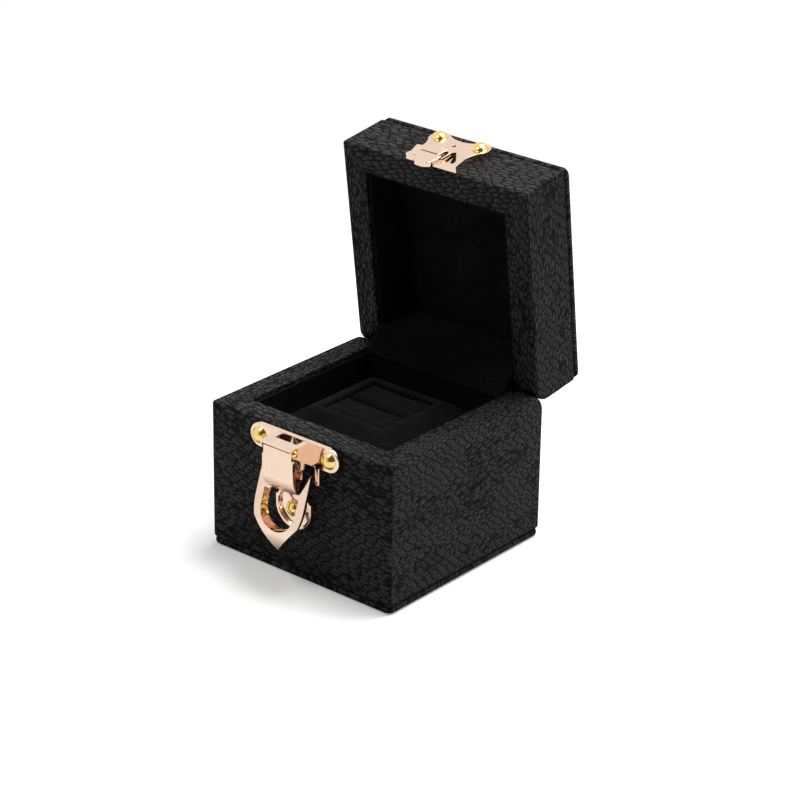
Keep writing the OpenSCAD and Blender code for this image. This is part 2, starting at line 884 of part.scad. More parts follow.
module strike_plate() {
    color([0.92, 0.72, 0.62]) lid_pose() difference() {
        translate([lock_x, 0, 0]) forward(face_y, strike_t) difference() {
            strike_outline();
            translate([0, strike_z - 2.6]) circle(0.6);
            strike_window();
        }
        strike_screw_places() cylinder(r = shank_r + fit, h = 3 * strike_t, center = true);
    }
}

// raised slide on the strike and the tongue below it, with a narrow slit across
module strike_tongue() {
    half = tongue_w / 2;
    r = 2.2;
    color([0.95, 0.75, 0.65]) lid_pose() translate([lock_x, 0, 0]) {
        forward(strike_face, tongue_t) difference() {
            union() {
                polygon([[slide_left + 1, strike_low], [slide_right, strike_low],
                    [slide_right, slide_top], [slide_left, slide_top - 1.9]]);
                translate([-half, tongue_low + r]) {
                    square([tongue_w, strike_low + 1 - tongue_low - r]);
                }
                translate([-half + r, tongue_low]) square([tongue_w - 2 * r, r + 1]);
                for (s = [-1, 1]) translate([s * (half - r), tongue_low + r]) circle(r);
            }
            translate([-5, strike_low + 1.2]) square([6.4, 0.5]);
        }
    }
}

module strike_screws() {
    color("gold") lid_pose() strike_screw_places() dome_screw();
}

underlay();
bottom_plate();
base_floor_board();
base_front_board();
base_rear_board();
base_side_boards();
base_leather();
base_lining();
pad_support();
pad_collar();
pad_roll_front();
pad_roll_rear();
hinge_leaf_base();
hinge_pin();
hinge_screws_base();
hinge_strip();
lock_back_plate();
lock_housing();
lock_screws();
lever_pin();
lever_spring();
keeper_plate();
keeper_screw();
lever_plate();
pull_ring();
lid_front_board();
lid_rear_board();
lid_side_boards();
lid_inner_board();
lid_cover_plate();
lid_leather();
lid_lining();
lid_panel();
hinge_leaf_lid();
hinge_screws_lid();
strike_plate();
strike_tongue();
strike_screws();
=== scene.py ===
"""Looks for a leather ring display box: wrapped walls, a padded ring platform, plated lock and strike.

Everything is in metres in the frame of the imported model. The sizes of the pieces are written in
millimetres and are turned into metres once, where a mesh is made.
"""

import json
import logging
import math
from dataclasses import dataclass
from enum import Enum
from typing import Iterable, Sequence

import bmesh
import bpy
import numpy as np
from mathutils import Matrix, Vector


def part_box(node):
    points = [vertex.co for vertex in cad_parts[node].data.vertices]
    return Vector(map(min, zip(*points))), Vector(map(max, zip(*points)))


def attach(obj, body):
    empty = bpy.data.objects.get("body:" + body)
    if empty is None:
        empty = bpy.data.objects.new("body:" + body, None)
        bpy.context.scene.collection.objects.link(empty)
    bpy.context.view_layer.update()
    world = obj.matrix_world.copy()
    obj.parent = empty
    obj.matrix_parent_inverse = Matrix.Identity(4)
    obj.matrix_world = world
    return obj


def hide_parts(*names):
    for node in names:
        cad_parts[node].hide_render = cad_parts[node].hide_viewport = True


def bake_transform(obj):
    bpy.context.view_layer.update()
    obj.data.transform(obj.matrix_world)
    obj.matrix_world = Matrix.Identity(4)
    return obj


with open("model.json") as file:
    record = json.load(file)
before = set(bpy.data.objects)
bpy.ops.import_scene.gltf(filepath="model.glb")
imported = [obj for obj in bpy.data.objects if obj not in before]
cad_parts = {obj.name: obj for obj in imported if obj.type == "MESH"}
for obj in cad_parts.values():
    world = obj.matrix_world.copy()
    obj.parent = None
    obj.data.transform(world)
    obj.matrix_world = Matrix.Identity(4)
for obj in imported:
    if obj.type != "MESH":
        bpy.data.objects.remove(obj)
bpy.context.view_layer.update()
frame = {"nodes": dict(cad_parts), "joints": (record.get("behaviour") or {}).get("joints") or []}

MM = 0.001
# Half the box's width, in millimetres, which every wrapped wall is measured from.
HALF = 32.5
log = logging.getLogger("ring_box")

Node, Socket, Material = bpy.types.Node, bpy.types.NodeSocket, bpy.types.Material
Mesh, Object = bpy.types.Mesh, bpy.types.Object
Point = tuple[float, float, float]
Rgb = tuple[float, float, float]
Pair = tuple[float, float]
Faces = list[tuple[int, ...]]


class Finish(Enum):
    """The finishes on the box, each with the record's material slot it belongs to."""

    LEATHER = "leather"
    SUEDE = "suede"
    BOARD = "board"
    FOAM = "foam"
    ROSE_GOLD = "rose_gold"
    GOLD = "gold"
    STEEL = "steel"


# ---- shader maths ----


@dataclass(eq=False)
class Value:
    """A number socket of a node tree. Arithmetic on it adds Math nodes."""

    tree: "Tree"
    socket: Socket

    def _math(self, operation: str, *parts: "Value | float") -> "Value":
        """Adds one Math node."""
        sockets = {i: p.socket if isinstance(p, Value) else p for i, p in enumerate(parts)}
        return self.tree.value("ShaderNodeMath", {"operation": operation}, sockets)

    def __add__(self, other: "Value | float") -> "Value":
        """self + other."""
        return self._math("ADD", self, other)

    def __sub__(self, other: "Value | float") -> "Value":
        """self - other."""
        return self._math("SUBTRACT", self, other)

    def __rsub__(self, other: float) -> "Value":
        """other - self."""
        return self._math("SUBTRACT", other, self)

    def __mul__(self, other: "Value | float") -> "Value":
        """self * other."""
        return self._math("MULTIPLY", self, other)

    def __truediv__(self, other: "Value | float") -> "Value":
        """self / other."""
        return self._math("DIVIDE", self, other)

    def __abs__(self) -> "Value":
        """The size of self without its sign."""
        return self._math("ABSOLUTE", self)

    __radd__ = __add__
    __rmul__ = __mul__

    def either(self, other: "Value") -> "Value":
        """The larger of self and other."""
        return self._math("MAXIMUM", self, other)

    def step(self, low: float, high: float) -> "Value":
        """A smooth rise of the value.

        Args:
            low: where the result is 0.
            high: where the result is 1, which may be below low for a fall.

        Returns:
            The result.
        """
        smooth = {"interpolation_type": "SMOOTHSTEP"}
        span = {"Value": self.socket, "From Min": low, "From Max": high}
        return self.tree.value("ShaderNodeMapRange", smooth, span, "Result")


class Tree:
    """A material's or world's node tree, emptied, with one method that adds any node."""

    def __init__(self, owner: Material | bpy.types.World) -> None:
        """Empties the owner's tree.

        Args:
            owner: the material or world that the tree belongs to.
        """
        owner.use_nodes = True
        self.nodes = owner.node_tree.nodes
        self.links = owner.node_tree.links
        self.nodes.clear()

    def add(self, kind: str, settings: dict | None = None, sockets: dict | None = None) -> Node:
        """Adds a node, sets its settings first, then its sockets.

        Args:
            kind: the node's type.
            settings: its properties.
            sockets: a value or an output socket for each input, by name or by number.

        Returns:
            The new node.
        """
        node = self.nodes.new(kind)
        for name, value in (settings or {}).items():
            setattr(node, name, value)
        for name, value in (sockets or {}).items():
            target = node.inputs[name]
            source = value.socket if isinstance(value, Value) else value
            if isinstance(source, Socket):
                self.links.new(source, target)
            elif isinstance(source, tuple) and len(source) == 3 and target.type == "RGBA":
                target.default_value = (*source, 1)
            else:
                target.default_value = source
        return node

    def value(self, kind: str, settings: dict, sockets: dict, out: str | int = 0) -> Value:
        """Adds a node and wraps one of its outputs."""
        return Value(self, self.add(kind, settings, sockets).outputs[out])

    def _vector(self, operation: str, *parts: object) -> Socket:
        """Adds one Vector Math node and gives its vector."""
        node = self.add("ShaderNodeVectorMath", {"operation": operation}, dict(enumerate(parts)))
        return node.outputs[0]

    def place(self) -> Socket:
        """Where a point lies on its own piece, in metres."""
        return self.add("ShaderNodeTexCoord").outputs["Object"]

    def stretched(self, place: Socket, scale: Point, shift: Point = (0, 0, 0)) -> Socket:
        """A vector scaled along each axis, and then moved."""
        return self._vector("MULTIPLY_ADD", place, scale, shift)

    def warped(self, place: Socket, scale: float, amount: float) -> Socket:
        """A vector pushed about by a smooth noise.

        Args:
            place: the vector.
            scale: how many waves of the noise there are in one unit.
            amount: how far the vector is pushed.

        Returns:
            The new vector's socket.
        """
        noise = self.add("ShaderNodeTexNoise", {}, {"Vector": place, "Scale": scale, "Detail": 2.0})
        centred = self._vector("SUBTRACT", noise.outputs["Color"], (0.5, 0.5, 0.5))
        return self._vector("MULTIPLY_ADD", centred, (amount, amount, amount), place)

    def noise(self, place: Socket, scale: float, detail: float = 2.0) -> Value:
        """Smooth noise from 0 to 1."""
        sockets = {"Vector": place, "Scale": scale, "Detail": detail}
        return self.value("ShaderNodeTexNoise", {}, sockets, "Fac")

    def cells(self, place: Socket, feature: str, jitter: float = 1.0) -> Value:
        """A Voronoi node's distance in a pattern of cells one unit across, uneven by the jitter."""
        sockets = {"Vector": place, "Scale": 1.0, "Randomness": jitter}
        return self.value("ShaderNodeTexVoronoi", {"feature": feature}, sockets, "Distance")

    def blend(self, share: Value, low: Rgb, high: Rgb) -> Socket:
        """A colour between two colours."""
        sockets = {"Factor": share, 6: (*low, 1), 7: (*high, 1)}
        return self.add("ShaderNodeMix", {"data_type": "RGBA"}, sockets).outputs[2]

    def bump(self, height: Value, depth: float) -> Socket:
        """A normal tilted by a height from 0 to 1, where 1 stands for the depth in metres."""
        return self.add("ShaderNodeBump", {}, {"Height": height, "Distance": depth}).outputs["Normal"]

    def rays(self, *kinds: str) -> Value:
        """Tells some kinds of rays from all others.

        Args:
            kinds: the kinds, such as Camera or Glossy.

        Returns:
            1 for rays of these kinds and 0 for the rest.
        """
        path = self.add("ShaderNodeLightPath").outputs
        met = Value(self, path[f"Is {kinds[0]} Ray"])
        for kind in kinds[1:]:
            met = met.either(Value(self, path[f"Is {kind} Ray"]))
        return met

    def mixed(self, share: Value, low: Socket, high: Socket) -> Socket:
        """A shader between two shaders: low where the share is 0 and high where it is 1."""
        return self.add("ShaderNodeMixShader", {}, {0: share, 1: low, 2: high}).outputs[0]

    def shining(self, kind: str, strength: float) -> Socket:
        """A white shader that gives off light: an Emission or a Background."""
        white = (1.0, 1.0, 1.0)
        return self.add("ShaderNode" + kind, {}, {"Color": white, "Strength": strength}).outputs[0]

    def skin(self, **sockets: object) -> None:
        """Finishes a material with a Principled shader.

        Args:
            sockets: its inputs, with underscores for the spaces in their names.
        """
        named = {name.replace("_", " "): value for name, value in sockets.items()}
        shader = self.add("ShaderNodeBsdfPrincipled", {}, named)
        self.add("ShaderNodeOutputMaterial", {}, {"Surface": shader.outputs[0]})


def new_tree(finish: Finish) -> tuple[Material, Tree]:
    """Makes an empty material for a finish, with its tree."""
    material = bpy.data.materials.new(finish.value)
    return material, Tree(material)


# ---- finishes ----


@dataclass(frozen=True)
class Leather:
    """Black pebbled hide. Its grain lies along the mesh's own strip coordinates, in millimetres.

    The pebbles are uneven cells, bent by a slow sway and a quicker wobble, each given as how many
    waves a cell has and how far they push. Patches of finer lines and pores lie over them.
    """

    # Painted shade: the creases between the pebbles are painted near black, for the shade that falls in
    # them.
    crease: Rgb = (0.0002, 0.0002, 0.0002)
    pebble: Rgb = (0.0275, 0.0275, 0.0285)
    long_cell: float = 2.35
    short_cell: float = 1.08
    slant: float = -0.25
    lean: float = 0.4
    longer: float = 0.25
    apart: float = 91.7
    sway: Pair = (0.06, 2.0)
    wobble: Pair = (0.36, 0.5)
    jitter: float = 0.66
    swell: Pair = (-0.06, 0.46)
    # Where the painted crease shade gives way to the pebble colour.
    line: Pair = (0.03, 0.18)
    fine_scale: Point = (1.7, 1.5, 1.0)
    fine_shift: Point = (7.3, 2.1, 0.0)
    fine_line: Pair = (0.0, 0.14)
    patch: float = 0.3
    patch_edge: Pair = (0.42, 0.62)
    pore: float = 1.7
    depth: float = 0.0006
    gloss: float = 0.07

    def material(self) -> Material:
        """Builds the material.

        Returns:
            The material.
        """
        made, t = new_tree(Finish.LEATHER)
        strip = t.add("ShaderNodeUVMap", {"uv_map": "strip"}).outputs[0]
        wavy = t.warped(t.warped(self._slanted(t, strip), *self.sway), *self.wobble)
        main = t.cells(wavy, "DISTANCE_TO_EDGE", self.jitter)
        small = t.cells(t.stretched(wavy, self.fine_scale, self.fine_shift), "DISTANCE_TO_EDGE")
        patchy = t.noise(strip, self.patch).step(*self.patch_edge)
        pores = t.noise(strip, self.pore, 3.0)
        dome = main.step(*self.swell)
        fine = small.step(*self.fine_line)
        # 1 on the pebbles and 0 in the creases, where the colour falls to the painted crease shade.
        outside_crease_shade = main.step(*self.line)
        t.skin(
            Base_Color=t.blend(outside_crease_shade * (0.75 + pores * 0.3), self.crease, self.pebble),
            Roughness=0.64 - outside_crease_shade * 0.24 + pores * 0.08,
            Specular_IOR_Level=self.gloss,
            Normal=t.bump(dome * 0.8 + fine * patchy * 0.06 + pores * 0.12, self.depth),
        )
        return made

    def _slanted(self, t: Tree, strip: Socket) -> Socket:
        """Counts cells along and up, in rows that fall towards the front right edge from both sides.

        Args:
            t: the material's tree.
            strip: the strip coordinates.

        Returns:
            The coordinates, one unit to a cell.
        """
        parts = t.add("ShaderNodeSeparateXYZ", {}, {0: strip}).outputs
        along, up = Value(t, parts[0]), Value(t, parts[1])
        from_edge = along - HALF
        size = 1.0 + from_edge.step(0.01, -0.01) * self.longer
        row = (up + abs(from_edge) * self.slant) / (size * self.short_cell) + size * self.apart
        column = abs(from_edge) / (size * self.long_cell) + row * self.lean
        return t.add("ShaderNodeCombineXYZ", {}, {0: column, 1: row}).outputs[0]


@dataclass(frozen=True)
class Suede:
    """Black brushed suede with a short nap."""

    dark: Rgb = (0.0009, 0.0009, 0.001)
    light: Rgb = (0.0088, 0.0088, 0.0095)
    sway: Pair = (40.0, 0.012)
    brushing: float = 95.0
    brushed_edge: Pair = (0.3, 0.7)
    tuft: float = 1300.0
    tuft_edge: Pair = (0.35, 0.65)
    nap: float = 5200.0
    depth: float = 0.00006

    def material(self) -> Material:
        """Builds the material.

        Returns:
            The material.
        """
        made, t = new_tree(Finish.SUEDE)
        place = t.place()
        brushed = t.noise(t.warped(place, *self.sway), self.brushing, 3.0)
        nap = t.noise(place, self.nap, 2.0)
        tufts = t.noise(place, self.tuft, 3.0)
        stroke, tufted = brushed.step(*self.brushed_edge), tufts.step(*self.tuft_edge)
        shade = stroke * 0.4 + tufted * 0.35 + nap * 0.15
        t.skin(
            Base_Color=t.blend(shade, self.dark, self.light),
            Roughness=0.93,
            Specular_IOR_Level=0.05,
            Sheen_Weight=0.02,
            Sheen_Roughness=0.4,
            Normal=t.bump(nap * 0.5 + tufts * 0.5, self.depth),
        )
        return made


@dataclass(frozen=True)
class Plating:
    """Polished plated metal with the faintest polishing haze."""

    finish: Finish
    colour: Rgb
    shade: Rgb
    roughness: float = 0.07
    haze: float = 420.0
    haze_edge: Pair = (0.3, 0.75)
    haze_rougher: float = 0.05
    lines: Point = (900.0, 900.0, 9000.0)
    depth: float = 0.0000012

    def material(self) -> Material:
        """Builds the material.

        Returns:
            The material.
        """
        made, t = new_tree(self.finish)
        place = t.place()
        haze = t.noise(place, self.haze, 3.0)
        lines = t.noise(t.stretched(place, self.lines), 1.0, 2.0)
        t.skin(
            Base_Color=t.blend(haze.step(*self.haze_edge), self.colour, self.shade),
            Metallic=1.0,
            Roughness=self.roughness + haze * self.haze_rougher,
            Normal=t.bump(lines, self.depth),
        )
        return made


@dataclass(frozen=True)
class Streaked:
    """Satin steel drawn one way, or raw board with its fibres."""

    finish: Finish
    light: Rgb
    dark: Rgb
    streak: Point
    detail: float
    metallic: float
    roughness: float
    rougher: float
    depth: float

    def material(self) -> Material:
        """Builds the material.

        Returns:
            The material.
        """
        made, t = new_tree(self.finish)
        streaks = t.noise(t.stretched(t.place(), self.streak), 1.0, self.detail)
        t.skin(
            Base_Color=t.blend(streaks, self.dark, self.light),
            Metallic=self.metallic,
            Roughness=self.roughness + streaks * self.rougher if self.rougher else self.roughness,
            Normal=t.bump(streaks, self.depth),
        )
        return made


@dataclass(frozen=True)
class Foam:
    """Dark open-celled foam under the pad, its holes painted darker as painted shade."""

    light: Rgb = (0.06, 0.06, 0.065)
    dark: Rgb = (0.015, 0.015, 0.015)
    hole: Point = (1600.0, 1600.0, 1600.0)
    painted_hole_shade: Pair = (0.1, 0.5)
    hole_dip: Pair = (0.0, 0.5)
    depth: float = 0.0002

    def material(self) -> Material:
        """Builds the material.

        Returns:
            The material.
        """
        made, t = new_tree(Finish.FOAM)
        holes = t.cells(t.stretched(t.place(), self.hole), "F1")
        t.skin(
            # The holes are painted darker than the cell walls: painted shade in them.
            Base_Color=t.blend(holes.step(*self.painted_hole_shade), self.dark, self.light),
            Roughness=0.95,
            Normal=t.bump(holes.step(*self.hole_dip), self.depth),
        )
        return made


def all_finishes() -> dict[Finish, Material]:
    """Builds every material once.

    Returns:
        Each finish's material.
    """
    rose = Plating(Finish.ROSE_GOLD, (0.86, 0.65, 0.51), (0.82, 0.61, 0.47))
    gold = Plating(Finish.GOLD, (0.93, 0.66, 0.22), (0.86, 0.58, 0.17), 0.05)
    steel = Streaked(
        Finish.STEEL, (0.5, 0.5, 0.5), (0.42, 0.42, 0.42), streak=(300.0, 6000.0, 6000.0), detail=3.0,
        metallic=1.0, roughness=0.24, rougher=0.16, depth=0.000004,
    )
    board = Streaked(
        Finish.BOARD, (0.42, 0.34, 0.25), (0.28, 0.22, 0.15), streak=(500.0, 500.0, 2500.0), detail=5.0,
        metallic=0.0, roughness=0.85, rougher=0.0, depth=0.00008,
    )
    return {
        Finish.LEATHER: Leather().material(),
        Finish.SUEDE: Suede().material(),
        Finish.FOAM: Foam().material(),
        **{skin.finish: skin.material() for skin in (rose, gold, steel, board)},
    }


# ---- making pieces ----


def linked(name: str, data: bpy.types.ID) -> Object:
    """A new object in the scene.

    Args:
        name: its name.
        data: the mesh, light or camera that it holds.

    Returns:
        The object.
    """
    made = bpy.data.objects.new(name, data)
    bpy.context.scene.collection.objects.link(made)
    return made


def applied(shown: Object) -> Mesh:
    """Applies an object's modifiers and removes the object.

    Args:
        shown: the object.

    Returns:
        A new mesh of what it showed.
    """
    mesh = bpy.data.meshes.new_from_object(shown.evaluated_get(bpy.context.evaluated_depsgraph_get()))
    bpy.data.objects.remove(shown)
    return mesh


def with_modifiers(mesh: Mesh, *modifiers: tuple[str, dict]) -> Mesh:
    """Applies modifiers to a mesh.

    Args:
        mesh: the mesh.
        modifiers: each one's type and its settings, in order.

    Returns:
        The resulting mesh.
    """
    holder = linked("holder", mesh)
    for kind, settings in modifiers:
        modifier = holder.modifiers.new(kind.lower(), kind)
        for name, value in settings.items():
            setattr(modifier, name, value)
    return applied(holder)


def written(work: bmesh.types.BMesh, name: str) -> Mesh:
    """Turns what was built into a mesh.

    Args:
        work: what was built, which is freed.
        name: the mesh's name.

    Returns:
        The new mesh.
    """
    mesh = bpy.data.meshes.new(name)
    work.to_mesh(mesh)
    work.free()
    return mesh


def outwards(mesh: Mesh, weld: float = 0.0) -> Mesh:
    """Turns every face of a closed mesh outwards.

    Args:
        mesh: the mesh, which is changed in place.
        weld: if set, points closer than this are joined first, in metres.

    Returns:
        The same mesh.
    """
    work = bmesh.new()
    work.from_mesh(mesh)
    if weld:
        bmesh.ops.remove_doubles(work, verts=work.verts, dist=weld)
        bmesh.ops.dissolve_degenerate(work, edges=work.edges, dist=weld / 5)
    bmesh.ops.recalc_face_normals(work, faces=work.faces)
    work.to_mesh(mesh)
    work.free()
    return mesh


def clean_copy(node: str) -> Mesh:
    """Copies a node's mesh, its corners welded and its flat faces joined.

    Args:
        node: the node's name.

    Returns:
        The new mesh.
    """
    work = bmesh.new()
    work.from_mesh(frame["nodes"][node].data)
    bmesh.ops.remove_doubles(work, verts=work.verts, dist=2e-6)
    flat = math.radians(0.6)
    bmesh.ops.dissolve_limit(
        work, angle_limit=flat, verts=work.verts, edges=work.edges, delimit={"SEAM"}
    )
    return written(work, node)


def softened(node: str, width: float, segments: int = 3) -> Mesh:
    """A node's mesh with its sharp edges rounded.

    Args:
        node: the node's name.
        width: how far the rounding reaches from an edge, in millimetres.
        segments: faces across the rounding.

    Returns:
        The new mesh, shaded smooth.
    """
    rounding = {
        "width": width * MM,
        "segments": segments,
        "limit_method": "ANGLE",
        "angle_limit": math.radians(28),
        "harden_normals": True,
        "miter_outer": "MITER_ARC",
        "use_clamp_overlap": True,
    }
    mesh = clean_copy(node)
    for face in mesh.polygons:
        face.use_smooth = True
    shading = {"keep_sharp": True, "weight": 80}
    return with_modifiers(mesh, ("BEVEL", rounding), ("WEIGHTED_NORMAL", shading))


def four_sides(side: list[Pair]) -> list[Pair]:
    """The points of one side of a square, in plan, turned round to all four sides in order."""
    turns = [(math.cos(a), math.sin(a)) for a in (math.radians(90 * k) for k in range(4))]
    return [(c * x - s * y, s * x + c * y) for c, s in turns for x, y in side]


def rounded_side(reach: float, radius: float, straight: int, corner: int) -> list[Pair]:
    """The front side of a square with round corners, and the corner after it.

    Args:
        reach: half the square's width.
        radius: the corners' radius.
        straight: points along the side.
        corner: points round the corner.

    Returns:
        The points in plan.
    """
    flat = reach - radius
    side = [(flat * a, -reach) for a in np.linspace(-1, 1, straight)]
    turns = np.linspace(0, math.pi / 2, corner + 2)[1:-1]
    return side + [(flat + radius * math.sin(a), -reach + radius - radius * math.cos(a)) for a in turns]


def loft(rows: int, count: int, close: bool = False) -> Faces:
    """Faces between neighbouring rows of points, where each row is a closed turn.

    Args:
        rows: how many rows there are.
        count: points in each row.
        close: whether the last row joins the first too.

    Returns:
        Corner numbers of each face.
    """
    joins = [(i * count, (i + 1) % rows * count) for i in range(rows if close else rows - 1)]
    sides = [(k, (k + 1) % count) for k in range(count)]
    return [(a + k, a + n, b + n, b + k) for a, b in joins for k, n in sides]


def ends(rows: int, count: int) -> Faces:
    """The two faces that close a loft which starts at the first row and stops at the last."""
    return [tuple(range(count))[::-1], tuple(range((rows - 1) * count, rows * count))]


def built(name: str, points: np.ndarray, faces: Sequence[Sequence[int]]) -> Mesh:
    """A mesh from points in millimetres.

    Args:
        name: its name.
        points: one row for each point.
        faces: corner numbers of each face.

    Returns:
        The mesh, shaded smooth.
    """
    mesh = bpy.data.meshes.new(name)
    mesh.from_pydata((np.asarray(points) * MM).tolist(), [], [list(f) for f in faces])
    mesh.polygons.foreach_set("use_smooth", [True] * len(mesh.polygons))
    mesh.update()
    return mesh


def placed(points: np.ndarray, matrix: Matrix) -> np.ndarray:
    """Points moved by a matrix in millimetres."""
    turn = np.array(matrix)
    return points @ turn[:3, :3].T + turn[:3, 3]


class Pose:
    """Where the base's and the lid's rims lie, from the frame."""

    def __init__(self) -> None:
        """Reads the lid's joint and the base's height."""
        joint = next(j for j in frame["joints"] if j["name"] == "lid_hinge")
        self.hinge = Vector(joint["pos_m"]) / MM
        self.opened = math.radians(joint["range_deg"][1])
        self.base_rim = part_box("base_leather")[1].z / MM

    def on_base(self) -> Matrix:
        """Takes what is drawn with its rim at zero to the base."""
        return Matrix.Translation((0, 0, self.base_rim))

    def lid_turn(self) -> Matrix:
        """Takes what is drawn shut to the open lid."""
        turn = Matrix.Rotation(-self.opened, 4, "X")
        return Matrix.Translation(self.hinge) @ turn @ Matrix.Translation(-self.hinge)

    def on_lid(self) -> Matrix:
        """Takes what is drawn with its rim at zero and up to the open lid."""
        shut_rim = 2 * self.hinge.z - self.base_rim
        return self.lid_turn() @ Matrix.Translation((0, 0, shut_rim)) @ Matrix.Diagonal((1, 1, -1, 1))


@dataclass
class Assembly:
    """A group of pieces, with the finishes and the rims' places that all groups share."""

    finishes: dict[Finish, Material]
    pose: Pose

    def show(self, name: str, body: str, finish: Finish, node: str, mesh: Mesh) -> Object:
        """Puts a piece into the scene.

        Args:
            name: its name.
            body: the body it rides on.
            finish: its finish.
            node: the node it replaces.
            mesh: its final mesh, in metres.

        Returns:
            The new object.
        """
        shown = linked(name, mesh)
        mesh.materials.clear()
        mesh.materials.append(self.finishes[finish])
        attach(shown, body)
        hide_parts(node)
        log.info("%s: %d faces, %s, on %s", name, len(mesh.polygons), finish.value, body)
        return shown

    def dress(self, node: str, finish: Finish) -> None:
        """Gives a carried-over node its finish.

        Args:
            node: the node's name.
            finish: its finish.
        """
        for slot in frame["nodes"][node].material_slots:
            slot.material = self.finishes[finish]
        log.info("%s: kept, %s", node, finish.value)


# ---- leather ----


def arc(x: float, y: float, radius: float, start: float, stop: float, steps: int) -> list[Pair]:
    """Points of an arc about (x, y) in a section, as (inset, height), between two angles in degrees."""
    turns = np.radians(np.linspace(start, stop, steps))
    return [(x + radius * math.cos(a), y + radius * math.sin(a)) for a in turns]


@dataclass
class Wrap:
    """Leather round four walls, over the rim and down inside, as one closed skin."""

    name: str
    depth: float
    opening: float = 24.7
    thickness: float = 1.0
    turn_in: float = 9.0
    edge: float = 0.9
    foot: float = 0.9
    lip: float = 0.45
    rear: float = 5.2
    pitch: float = 0.9
    grain: float = 1.0
    corner: int = 6
    wave: float = 0.035
    wave_reach: float = 3.0

    def section(self) -> np.ndarray:
        """The skin's section from the foot over the rim and back behind.

        Returns:
            Its corners as (inset, height).
        """
        deep, over = -self.depth, HALF - self.opening
        rise = np.arange(deep + self.foot, -self.edge, self.pitch)[1:]
        across = np.linspace(self.edge, over - self.lip, 11)[1:-1]
        down = np.linspace(-self.lip, -self.turn_in, 6)[1:]
        back = self.thickness
        rows = [(back, deep)]
        rows += arc(self.foot, deep + self.foot, self.foot, 270, 180, 6)
        rows += [(0.0, z) for z in rise]
        rows += arc(self.edge, -self.edge, self.edge, 180, 90, 8)
        rows += [(x, 0.0) for x in across]
        rows += arc(over - self.lip, -self.lip, self.lip, 90, 0, 5)
        rows += [(over, z) for z in down]
        rows += [(over - back, -self.turn_in), (over - back, -back), (back, -back)]
        return np.array(rows)

    def ring(self, inset: float) -> tuple[np.ndarray, np.ndarray]:
        """One turn of the skin round the walls at an inset.

        Args:
            inset: how far in from the outside.

        Returns:
            The points in plan and, for each, how far along the strip it lies.
        """
        steps = int(2 * HALF / self.pitch)
        side = rounded_side(HALF - inset, max(self.edge - inset, 0.0), steps, self.corner)
        along = [x for x, _ in side[:steps]]
        along += list(np.linspace(along[-1], HALF, self.corner + 2)[1:-1])
        places = [x + k * 2 * HALF for k in range(4) for x in along]
        return np.array(four_sides(side)), np.array(places)

    def rolled(self, points: np.ndarray) -> np.ndarray:
        """Rolls the square rear rim edge to its large radius.

        Args:
            points: points in the rim frame.

        Returns:
            The moved points.
        """
        out = points.copy()
        from_rear, from_top = HALF - out[:, 1], -out[:, 2]
        v = np.stack([self.rear - from_rear, self.rear - from_top], 1)
        near = (v > 0).all(1)
        v[near] *= (np.abs(v[near]).max(1) / np.linalg.norm(v[near], axis=1))[:, None]
        out[near, 1] = HALF - (self.rear - v[near, 0])
        out[near, 2] = -(self.rear - v[near, 1])
        return out

    def mesh(self, matrix: Matrix, room: Object) -> Mesh:
        """Builds the skin.

        Args:
            matrix: from the rim frame to the box.
            room: the solid that is cut out for the hinge, which is used up.

        Returns:
            The mesh, with its strip coordinates.
        """
        rows = self.section()
        steps = np.linalg.norm(np.diff(rows, axis=0), axis=1)
        travelled = np.concatenate([[0], np.cumsum(steps)])
        rings = [self.ring(inset) for inset, _ in rows]
        layers = []
        for (inset, height), (plan, _), flat in zip(rows, rings, self.squared(rows)):
            toward = np.clip((plan[:, 1] - (HALF - self.edge)) / self.edge, 0, 1)
            toward = toward * toward * (3 - 2 * toward)
            layer = np.column_stack([plan, height + (flat[1] - height) * toward])
            layer[:, 1] -= (flat[0] - inset) * toward
            layers.append(layer)
        points = self.rolled(self.uneven(np.concatenate(layers)))
        faces = loft(len(rows), len(layers[0]), close=True)
        strips = self._strips(np.array([places for _, places in rings]), travelled)
        if matrix.determinant() < 0:
            faces = [f[::-1] for f in faces]
            strips = strips[:, ::-1]
        mesh = built(self.name, placed(points, matrix), faces)
        mesh.uv_layers.new(name="strip").data.foreach_set("uv", strips.ravel())
        difference = {"operation": "DIFFERENCE", "object": room, "solver": "EXACT", "use_self": True}
        cut = with_modifiers(outwards(mesh, weld=5e-7), ("BOOLEAN", difference))
        bpy.data.objects.remove(room)
        return cut

    def _strips(self, along: np.ndarray, travelled: np.ndarray) -> np.ndarray:
        """The strip coordinates of every face's corners, in the order that loft gives the faces.

        Args:
            along: how far along the strip each point lies, one row for each row of the section.
            travelled: how far round the section each row lies.

        Returns:
            Four coordinate pairs for each face.
        """
        along = np.column_stack([along, along[:, 0] + 8 * HALF])
        strips = []
        for i in range(len(along)):
            j = (i + 1) % len(along)
            u, w = along[i], along[j]
            v0, v1 = travelled[i], travelled[j] if j else travelled[i] + 1
            corners = zip(u, u[1:], w[1:], w)
            strips += [((a, v0), (b, v0), (c, v1), (d, v1)) for a, b, c, d in corners]
        places = np.array(strips, float)
        places[..., 0] = HALF + (places[..., 0] - HALF) * self.grain
        places[..., 1] *= self.grain
        return places

    def squared(self, rows: np.ndarray) -> np.ndarray:
        """The section with its outer rim edge left square, for the rear wall.

        Args:
            rows: the section.

        Returns:
            The rows as (inset, height).
        """
        v = rows * (-1, 1) + self.edge
        curved = (v > 1e-9).all(1) & (np.abs(np.linalg.norm(v, axis=1) - self.edge) < 1e-6)
        v[curved] *= self.edge / v[curved].max(1, keepdims=True)
        return np.where(curved[:, None], (v - self.edge) * (-1, 1), rows)

